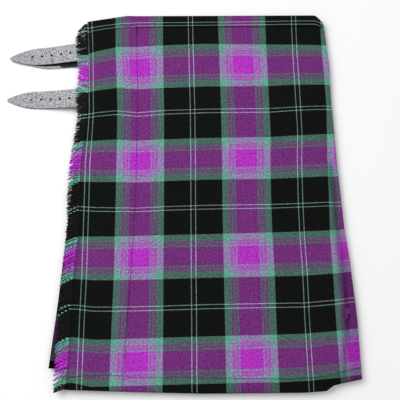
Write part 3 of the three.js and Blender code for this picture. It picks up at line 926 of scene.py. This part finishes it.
def back_grid():
    """Knife pleats: along the inside, down a short step to the face, along it, round the outer
    fold, back on the middle level, round an inner fold and on along the inside."""
    level = np.linspace(LOW_LEVEL, HIGH_LEVEL, 36)
    left = left_turn(level) + UNDER_TURN + SEAM_GAP
    right = at_level(BACK_SEAM, level)
    start = at_level(PLEAT_FROM, level)
    pitch = (at_level(PLEAT_TO, level) - start) / PLEATS
    runs = [straight(left, start - 3.5, INNER, INNER, BACK_STEPS)]
    for k in range(PLEATS):
        line = start + k * pitch
        t = np.linspace(0.0, 1.0, 7)[None]
        runs.append((line - 2 + 4 * t, INNER + (FACE - INNER) * ease(t, 0, 1) + 0 * line))
        runs.append(straight(line + 3, line + pitch - 4.2, FACE, FACE, 5))
        runs.append(half_turn(line + pitch - 3, FACE, RETURN, 1, 8))
        runs.append(straight(line + pitch - 4.2, line + 4.2, RETURN, RETURN, 4))
        runs.append(half_turn(line + 3, RETURN, INNER, -1, 8))
        if k < PLEATS - 1:
            runs.append(straight(line + 4.2, line + pitch - 3.5, INNER, INNER, 4))
    runs.append(straight(line + 4.2, right, INNER, INNER, SIDE_STEPS))
    return chain(level, runs)


def back_uv(grid):
    """Across runs on by distance along each section, with the sections' mean in the pleats, so
    that the woven lines follow the pleats; along is y."""
    run = arc_length(grid[..., 0], grid[..., 2])
    pleated = np.clip(np.arange(run.shape[1]), BACK_STEPS - 1, run.shape[1] - SIDE_STEPS)
    across = run + (run.mean(axis=0) - run)[:, pleated]
    return np.stack([-across, grid[..., 1]], axis=-1)


UNDER_ACROSS, UNDER_ALONG = 193.8, 119.5


def under_uv(grid):
    """Across is x, and runs on by distance round the left fold; along is y. The offsets put black
    along the fold."""
    x, y, z = np.moveaxis(grid, -1, 0)
    run = arc_length(x, z)
    across = np.where(z > UNDER - 0.05, x, 0)
    start = np.argmin(z > UNDER - 0.05, axis=1)[0] - 1
    across[:, start:] = x[:, start:start + 1] - (run[:, start:] - run[:, start:start + 1])
    return np.stack([across + UNDER_ACROSS, y + UNDER_ALONG], axis=-1)


class KILT_OT_under_apron(bpy.types.Operator):
    """Under apron: one flat sheet below the front, turned under at the left fold"""
    bl_idname = "kilt.under_apron"
    bl_label = "Under apron"

    def execute(self, context):
        grid = under_grid()
        fold_x = table(LEFT_FOLD, grid[..., 1], "y", "x")
        # Painted shade under the front apron and its fringe: full within 12 mm of the left fold, gone at 34
        # mm; lay_sheet stores it as the attribute named pressed.
        dark = 0.7 * (1 - ease(grid[..., 0], fold_x + 12, fold_x + 34))
        lay_sheet("under_apron", grid[:, ::-1], under_uv(grid)[:, ::-1],
                  dark[:, ::-1])
        return {"FINISHED"}


class KILT_OT_pleated_back(bpy.types.Operator):
    """Pleated back: one sheet folded into knife pleats that lie on the surface"""
    bl_idname = "kilt.pleated_back"
    bl_label = "Pleated back"

    def execute(self, context):
        grid = back_grid()
        lay_sheet("pleated_back", grid, back_uv(grid))
        return {"FINISHED"}


# ---- waistband ----------------------------------------------------------------------------------
BAND_FRONT, BAND_BACK, BAND_UNDER = 10.2, 3.0, UNDER
BAND_START, BAND_LEFT, BAND_END = -145.5, -140, 215
BAND_RIGHT, BAND_SLANT = 253, 12  # its right end at the seam, and how much further in at the top
BAND = 2.8                        # thickness of the folded band
BAND_RISE = 3.2                   # how far its weave sits above the apron's
CORNER_DIP = 6                    # and the weave's drop at its right end


def band_path(t):
    """Middle line of the band at a height fraction t: front, right fold, back, left fold, under."""
    radius = (BAND_FRONT - BAND_BACK) / 2
    right = BAND_RIGHT - BAND_SLANT * t * t - radius - BAND / 2
    left = BAND_LEFT + (BAND_UNDER - BAND_BACK) / 2 + BAND / 2
    x, z = straight(BAND_START, right, 0, 0, 140)
    z = z + BAND_FRONT + 1.5 * (1 - ease(x, LIFT_FULL, LIFT_END))
    for next_x, next_z in (
        half_turn(right, BAND_FRONT, BAND_BACK, 1, 14),
        straight(right, left, BAND_BACK, BAND_BACK, 60),
        half_turn(left, BAND_BACK, BAND_UNDER, -1, 9),
        straight(left, BAND_END, BAND_UNDER, BAND_UNDER, 50),
    ):
        x = np.concatenate([x, next_x[:, 1:]], axis=1)
        z = np.concatenate([z, next_z[:, 1:]], axis=1)
    return x[0], z[0]


def band_profile():
    """Closed outline of the folded band: (height fraction, offset from its middle) of the outer
    contour, over the folded top edge, and of the inner contour back."""
    half, inner = BAND / 2 * 0.96, 0.08
    turn = np.linspace(0, np.pi, 9)
    top = 1 - half / BAND_HEIGHT
    outer = np.stack([top + half / BAND_HEIGHT * np.sin(turn), half * np.cos(turn)], axis=1)
    inside = np.stack([top + inner / BAND_HEIGHT * np.sin(turn[::-4]), inner * np.cos(turn[::-4])], axis=1)
    rise = np.linspace(0, top, 7)[:-1]
    front = np.stack([rise, half - 0.35 * bell(rise, 0.06)], axis=1)
    back = np.stack([rise[::-1], -half + 0 * rise], axis=1)
    inner_back = np.stack([rise, -inner + 0 * rise], axis=1)
    inner_front = np.stack([rise[::-1], inner + 0 * rise], axis=1)
    return np.concatenate([front, outer, back, inner_back, inside, inner_front])


class KILT_OT_waistband(bpy.types.Operator):
    """Waistband: one strip folded over lengthways, carried right round the wrap"""
    bl_idname = "kilt.waistband"
    bl_label = "Waistband"

    def execute(self, context):
        rings, uvs = [], []
        for t, offset in band_profile():
            x, z = band_path(t)
            along = np.stack([np.gradient(x), np.gradient(z)])
            along /= np.linalg.norm(along, axis=0)
            hidden = 2 * t * (1 - ease(z, BAND_FRONT - 1, BAND_FRONT - 0.2))
            y = seam(x) + SEAM_GAP + t * (BAND_HEIGHT - SEAM_GAP) - hidden
            rings.append(np.stack([x - along[1] * offset, y, z + along[0] * offset], axis=1))
            run = arc_length(x[None], z[None])[0] + x[0]
            side, rise = woven_shift(x, y)
            dip = CORNER_DIP * ease(x, 236, 252)
            uvs.append(np.stack([run - side, y - rise + BAND_RISE + dip], axis=1))
        grid = np.stack(rings, axis=1) * MM
        faces = ring_sweep(1, *grid.shape[:2])
        uv = np.stack(uvs, axis=1).reshape(-1, 2) * MM
        obj = new_object("waistband_cloth", grid.reshape(-1, 3), faces, uv)
        outward(obj)
        keep(obj, "tartan", shared("tartan cloth", tartan_material), "waistband")
        x, z = band_path(0)
        return {"FINISHED"}


# ---- fringe ---------------------------------------------------------------------------------------
TONES = 40           # shades the fringe's yarns can take
ENDS = (-300, 294)   # the fringe's lowest and highest yarn
RAVELLED = (-10, 110)  # the twisted strands loosen upwards between these levels
# A layer's yarns are a share of the count, in strands of ply yarns; height is above the front, and
# thick is a share of a yarn's width.
FRINGE_LAYERS = (
    {"name": "fringe_strands", "share": 1, "ply": 3, "seed": 11, "height": 0.35, "steps": 24,
     "pitch": 1.1, "thick": 1.0},
    {"name": "fringe_yarns", "share": 0.8, "ply": 1, "seed": 12, "height": -1.1, "steps": 8,
     "pitch": 1.0, "thick": 0.8},
)


def tubes(name, paths, radius, sides, uv_along, tone):
    """Round tubes along many paths at once. paths is (count, points, 3) in metres, radius is
    (count, points); each ring lies square to its path. uv_along gives each tube's weave place, and
    tone, from 0 to 1, moves it across the map so that its shade is its own."""
    count, points = paths.shape[:2]
    along = np.gradient(paths, axis=1)
    along /= np.linalg.norm(along, axis=2, keepdims=True)
    side = np.cross(along, np.array([0, 0, 1.0]))
    side /= np.linalg.norm(side, axis=2, keepdims=True)
    up = np.cross(side, along)
    turn = np.linspace(0, 2 * np.pi, sides, endpoint=False)
    ring = side[:, :, None] * np.cos(turn)[:, None] + up[:, :, None] * np.sin(turn)[:, None]
    verts = paths[:, :, None] + ring * radius[:, :, None, None]
    run = np.linalg.norm(np.diff(paths, axis=1), axis=2)
    run = np.concatenate([np.zeros((count, 1)), np.cumsum(run, axis=1)], axis=1)
    shape = (count, points, sides)
    uv = np.stack([
        np.broadcast_to(run[:, :, None] + np.floor(tone * TONES)[:, None, None], shape),
        np.broadcast_to(uv_along[:, None, None], shape),
    ], axis=-1)
    obj = new_object(name, verts.reshape(-1, 3), ring_sweep(*shape), uv.reshape(-1, 2))
    outward(obj)
    return obj


def fringe_layer(row, count):
    """Free weft yarns in strands of the row's ply. A strand starts inside the edge and runs out by
    the reach at its place, sweeping down the cloth by the sweep there and drooping past the edge.
    Its yarns gather on its middle line and twist round it, more towards the hem."""
    rng = np.random.default_rng(row["seed"])
    ply = row["ply"]
    strands = count // ply

    def each(values):
        """A strand's values for each of its yarns."""
        return np.repeat(values, ply)

    middle = np.linspace(ENDS[0] + 1, ENDS[1] - 1, strands) + rng.normal(0, 0.3, strands)
    middle = np.clip(middle, *ENDS)
    y = each(middle) + (np.tile(np.arange(ply), strands) - (ply - 1) / 2) * row["pitch"]
    root = table(FREE_EDGE, y, "y", "x")
    loose = ease(y, *RAVELLED)
    reach = table(FRINGE_REACH, y, "y", "out") * each(rng.uniform(0.9, 1.04, strands))
    reach *= rng.uniform(0.94, 1.03, len(y))
    sweep = table(FRINGE_SWEEP, y, "y", "down") + each(rng.normal(0, 0.1, strands))
    sweep += loose * rng.normal(0, 0.12, len(y))
    t = np.linspace(0, 1, row["steps"])[None]
    x = root[:, None] + 1.5 - (reach[:, None] + 1.5) * t
    down = (sweep * reach)[:, None] * t ** 1.25
    gather = (each(middle) - y)[:, None] * (1 - 0.75 * loose[:, None]) * ease(t, 0, 0.3)
    phase = np.tile(np.arange(ply) * 2 * np.pi / ply, strands) + each(rng.uniform(0, 6.28, strands))
    angle = phase[:, None] - reach[:, None] * t * 1.3
    coil = 0.62 * ease(t, 0.02, 0.25) * (1 - 0.7 * loose[:, None])
    wave = 0.5 * loose[:, None] * np.sin(5 * t + phase[:, None]) * t
    droop = (1.5 + 0.5 * rng.uniform(-1, 1, len(y)))[:, None] * t ** 2
    rise = row["height"] + each(rng.normal(0, 0.2, strands))[:, None] + 0.5 * np.sin(np.pi * t) - droop
    start = front_height(root + 1, y, np.full_like(y, 260.0))[:, None]
    path = np.stack([x + 0 * y[:, None], y[:, None] - down + gather + wave + coil * np.cos(angle),
                     start + rise + coil * np.sin(angle)], axis=-1)
    _, shift = woven_shift(root, y)
    tone = each(rng.uniform(0, 1, strands)) + rng.uniform(0, 0.15, len(y))
    return path * MM, (y - shift) * MM, tone


class KILT_OT_fringe(bpy.types.Operator):
    """Fringe: the free weft yarns of the apron's edge, twisted strands over a thinner layer"""
    bl_idname = "kilt.fringe"
    bl_label = "Fringe"

    def execute(self, context):
        trim = context.scene.kilt_trim
        for row in FRINGE_LAYERS:
            paths, place, tone = fringe_layer(row, int(trim.fringe_count * row["share"]))
            taper = np.interp(np.linspace(0, 1, row["steps"]), (0, 0.6, 0.85, 1), (1, 1, 0.85, 0.4))[None]
            radius = np.full((len(paths), 1), trim.fringe_yarn * row["thick"] / 2) * taper
            obj = tubes(row["name"], paths, radius, 5, place, tone)
            keep(obj, "fringe_yarn", shared("fringe yarn", fringe_material), "fringe")
        return {"FINISHED"}


# ---- straps --------------------------------------------------------------------------------------
STRAP_WIDTH, STRAP_POINT, STRAP_ROOT = 32, 50, -100
HOLES, HOLE_PITCH = 5, 16
HOLE_WIDE, HOLE_NARROW = 1.4, 0.4  # shares of a hole's radius at the drill's two ends
STRAP_MIDDLE, DRILL = 1.1, 3.4     # half the leather's thickness, and the drill's length


def strap_half(distance):
    """Half width: a quarter sine over the point, made fuller near the tip by the power, then
    widening slowly to the sewn end."""
    t = np.minimum(distance / STRAP_POINT, 1) ** 0.85
    point = 0.12 + 0.88 * np.sin(np.pi / 2 * t)
    return STRAP_WIDTH / 2 * point * (0.91 + 0.09 * np.minimum(distance / 110, 1))


def strap_low(row, x):
    """Height of the strap's lower side: it eases down from its sewn end to where it rests."""
    return row["root"] + (row["end"] - row["root"]) * ease(-x, -row["from"], -row["to"])


def strap_section(thickness):
    """Closed outline of the leather: (share of half width, inset, height) with rounded edges."""
    bevel = 0.7
    turn = np.linspace(0, np.pi / 2, 4)
    far, near = bevel * (1 - np.sin(turn)), bevel * (1 - np.cos(turn))
    low = np.stack([np.ones(4), far, near], axis=1)
    high = np.stack([np.ones(4), near, thickness - far], axis=1)
    across = np.linspace(1, -1, 9)[1:-1]
    top = np.stack([across, 0 * across, np.full(7, thickness)], axis=1)
    bottom = np.stack([-across, 0 * across, np.zeros(7)], axis=1)
    mirror = np.array([-1, 1, 1])
    return np.concatenate([low, high, top, high[::-1] * mirror, low[::-1] * mirror, bottom])


def strap_object(row, thickness, radius):
    """One strap: its outline carried from the tip, where sections crowd, to the sewn end."""
    point = STRAP_POINT * np.linspace(0, 1, 24) ** 2
    rest = np.linspace(STRAP_POINT, STRAP_ROOT - row["tip"], 40)
    distance = np.concatenate([point, rest[1:]])
    x = row["tip"] + distance
    half = strap_half(distance)[:, None]
    section = strap_section(thickness / MM)
    inset = np.minimum(section[:, 1], half * 0.9)
    side = section[:, 0] * half - np.sign(section[:, 0]) * inset * (np.abs(section[:, 0]) == 1)
    middle = (row["y"] + row["slope"] * distance)[:, None]
    grid = np.stack([np.broadcast_to(x[:, None], side.shape), middle + side,
                     strap_low(row, x)[:, None] + section[:, 2] + 0 * side], axis=-1) * MM
    obj = new_object(row["name"] + "_leather", grid.reshape(-1, 3), ring_sweep(1, *grid.shape[:2]))
    outward(obj)
    punch(obj, row, radius)
    return obj


def hole_places(row):
    """Middles of the holes, one pitch apart along the strap's middle line."""
    distance = row["first"] + HOLE_PITCH * np.arange(HOLES)
    x = row["tip"] + distance
    return np.stack([x, row["y"] + row["slope"] * distance, strap_low(row, x) + STRAP_MIDDLE], axis=1)


def punch(obj, row, radius):
    """Cuts the holes through the leather, wider at the face than at the flesh side, with a
    boolean that is applied at once."""
    drill = bmesh.new()
    low, high = (HOLE_WIDE, HOLE_NARROW) if row["turned"] else (HOLE_NARROW, HOLE_WIDE)
    for place in hole_places(row):
        bmesh.ops.create_cone(drill, cap_ends=True, segments=20, radius1=radius * low, radius2=radius * high,
                              depth=DRILL * MM, matrix=Matrix.Translation(Vector(place) * MM))
    mesh = bpy.data.meshes.new("drill")
    drill.to_mesh(mesh)
    drill.free()
    tool = link_object("drill", mesh)
    cut = obj.modifiers.new("holes", "BOOLEAN")
    cut.object = tool
    cut.solver = "EXACT"
    bpy.context.view_layer.update()
    done = bpy.data.meshes.new_from_object(obj.evaluated_get(bpy.context.evaluated_depsgraph_get()))
    obj.modifiers.clear()
    obj.data = done
    bpy.data.objects.remove(tool)


def read_faces(mesh, name):
    """One vector for each face of the mesh."""
    values = np.empty(len(mesh.polygons) * 3, np.float32)
    mesh.polygons.foreach_get(name, values)
    return values.reshape(-1, 3)


def face_sides(obj, row, radius):
    """Second material on the flesh side, the cut edges and the holes' walls: the faces that don't
    look up, or for a turned strap the ones that do, apart from its lower rim near the tip."""
    mesh = obj.data
    z = read_faces(mesh, "normal")[:, 2]
    x, y = read_faces(mesh, "center")[:, :2].T / MM
    if row["turned"]:
        distance = np.maximum(x - row["tip"], 0)
        below = row["y"] + row["slope"] * distance - y
        low_rim = below > (0.72 + 0.4 * ease(x, -200, -172)) * strap_half(distance)
        plain = (z > 0.3) & ~low_rim
    else:
        plain = z < 0.35
    holes = hole_places(row)
    away = np.hypot(x[:, None] - holes[:, 0], y[:, None] - holes[:, 1]).min(axis=1)
    plain |= (away < 1.5 * radius / MM) & (np.abs(z) < 0.97)
    mesh.polygons.foreach_set("material_index", plain.astype(np.int32))


class KILT_OT_straps(bpy.types.Operator):
    """Straps: two below the apron's free edge and one turned over beneath them"""
    bl_idname = "kilt.straps"
    bl_label = "Straps"

    def execute(self, context):
        trim = context.scene.kilt_trim
        sides = [shared("silver leather", leather_material), shared("leather flesh side", flesh_material)]
        for row in STRAPS:
            obj = strap_object(row, trim.strap_thickness, trim.hole_radius)
            keep(obj, "grey_leather", sides, row["name"])
            face_sides(obj, row, trim.hole_radius)
            smooth_shade(obj)
        return {"FINISHED"}


def smooth_shade(obj):
    """Smooth shading, with corners sharper than 50 degrees kept."""
    mesh = obj.data
    mesh.polygons.foreach_set("use_smooth", np.full(len(mesh.polygons), True))
    mesh.set_sharp_from_angle(angle=np.radians(50))


# ---- buckles ---------------------------------------------------------------------------------------
def rounded_copy(node, name, width):
    """A copy of a CAD node with its triangles merged into faces and its edges rounded."""
    bm = bmesh.new()
    bm.from_mesh(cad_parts[node].data)
    bmesh.ops.remove_doubles(bm, verts=bm.verts, dist=1e-6)
    bmesh.ops.dissolve_limit(bm, angle_limit=np.radians(1), verts=bm.verts, edges=bm.edges)
    inner = [edge for edge in bm.edges if len(edge.link_faces) == 2]
    sharp = [edge for edge in inner if edge.calc_face_angle() > np.radians(32)]
    bmesh.ops.bevel(bm, geom=sharp, offset=width, segments=2, profile=0.6, affect="EDGES", clamp_overlap=True)
    mesh = bpy.data.meshes.new(name)
    bm.to_mesh(mesh)
    bm.free()
    obj = link_object(name, mesh)
    smooth_shade(obj)
    return obj


class KILT_OT_buckles(bpy.types.Operator):
    """Buckles: frames, tongues and leather tabs beneath the sides of the back"""
    bl_idname = "kilt.buckles"
    bl_label = "Buckles"

    def execute(self, context):
        steel = shared("buckle steel", steel_material)
        leather = shared("silver leather", leather_material)
        for row in BUCKLES:
            for part, slot, width, material in (
                ("frame", "steel", 0.0003, steel),
                ("tongue", "steel", 0.0002, steel),
                ("tab", "grey_leather", 0.0002, leather),
            ):
                node = f"{row}_buckle_{part}"
                obj = rounded_copy(node, node + "_finished", width)
                keep(obj, slot, material, node)
        return {"FINISHED"}


# ---- stage -----------------------------------------------------------------------------------------
AIM = Vector((0.040, -0.0155, (FRONT + CLOTH / 2) * MM))
FLOOR_DROP = 0.0004  # the floor lies this far below the kilt's lowest side
SOFTBOXES = (        # each a square light; its power is a share of the key's
    {"name": "key", "place": (-1.35, 0.75, 1.6), "size": 1.6, "share": 1},
    {"name": "side", "place": (1.3, -0.3, 1.9), "size": 1.4, "share": 0.15},
)


class KILT_OT_stage(bpy.types.Operator):
    """Stage: a plain pale floor, soft light and the camera above the kilt"""
    bl_idname = "kilt.stage"
    bl_label = "Stage"

    def execute(self, context):
        stage = context.scene.kilt_stage
        scene = context.scene
        scene.view_settings.view_transform = "Standard"
        bpy.ops.mesh.primitive_plane_add(size=12, location=(0, 0, 0))
        floor = context.object
        floor.name = "floor"
        material, _, _ = blank_material(
            "pale floor", Base_Color=stage.floor, Roughness=0.8, Specular_IOR_Level=0.1)
        floor.data.materials.append(material)
        floor.location.z = -FLOOR_DROP
        world = bpy.data.worlds.new("soft white")
        scene.world = world
        world.use_nodes = True
        back = world.node_tree.nodes["Background"]
        back.inputs["Color"].default_value = (1, 1, 1, 1)
        back.inputs["Strength"].default_value = stage.fill
        for row in SOFTBOXES:
            self.softbox(row, stage.key)
        lens = bpy.data.cameras.new("camera")
        camera = bpy.data.objects.new("camera", lens)
        scene.collection.objects.link(camera)
        lens.sensor_width = 36
        lens.lens = stage.lens
        lens.clip_start = 0.05
        away = Vector((0, -np.sin(stage.tilt), np.cos(stage.tilt)))
        turn = Matrix.Rotation(stage.tilt, 4, "X") @ Matrix.Rotation(stage.roll, 4, "Z")
        camera.matrix_world = Matrix.Translation(AIM + away * stage.distance) @ turn
        scene.camera = camera
        return {"FINISHED"}

    def softbox(self, row, key):
        """A square area light that looks at the middle of the kilt."""
        light = bpy.data.lights.new(row["name"], "AREA")
        light.shape = "SQUARE"
        light.size = row["size"]
        light.energy = key * row["share"]
        obj = bpy.data.objects.new(row["name"], light)
        bpy.context.scene.collection.objects.link(obj)
        obj.location = row["place"]
        obj.rotation_euler = (AIM - obj.location).to_track_quat("-Z", "Y").to_euler()


class KILT_PT_sidebar(bpy.types.Panel):
    """Lists the kilt's pieces in the order they are made"""
    bl_label = "Kilt"
    bl_idname = "KILT_PT_sidebar"
    bl_space_type = "VIEW_3D"
    bl_region_type = "UI"
    bl_category = "Kilt"

    def draw(self, context):
        for operator in OPERATORS:
            self.layout.operator(operator.bl_idname)
        for settings in (context.scene.kilt_cloth, context.scene.kilt_trim, context.scene.kilt_stage):
            box = self.layout.box()
            for name in settings.bl_rna.properties.keys():
                if name not in ("rna_type", "name"):
                    box.prop(settings, name)


OPERATORS = (
    KILT_OT_stage,
    KILT_OT_pleated_back,
    KILT_OT_under_apron,
    KILT_OT_front_apron,
    KILT_OT_waistband,
    KILT_OT_fringe,
    KILT_OT_straps,
    KILT_OT_buckles,
)
CLASSES = (KiltCloth, KiltTrim, KiltStage, *OPERATORS, KILT_PT_sidebar)


def register():
    """Registers the classes and hangs their settings on the scene."""
    for cls in CLASSES:
        bpy.utils.register_class(cls)
    bpy.types.Scene.kilt_cloth = PointerProperty(type=KiltCloth)
    bpy.types.Scene.kilt_trim = PointerProperty(type=KiltTrim)
    bpy.types.Scene.kilt_stage = PointerProperty(type=KiltStage)


def unregister():
    """Takes the settings and the classes away again."""
    del bpy.types.Scene.kilt_stage, bpy.types.Scene.kilt_trim, bpy.types.Scene.kilt_cloth
    for cls in reversed(CLASSES):
        bpy.utils.unregister_class(cls)


def main():
    """Builds every piece in order."""
    register()
    for operator in OPERATORS:
        group, name = operator.bl_idname.split(".")
        getattr(getattr(bpy.ops, group), name)()


if __name__ == "__main__":
    main()
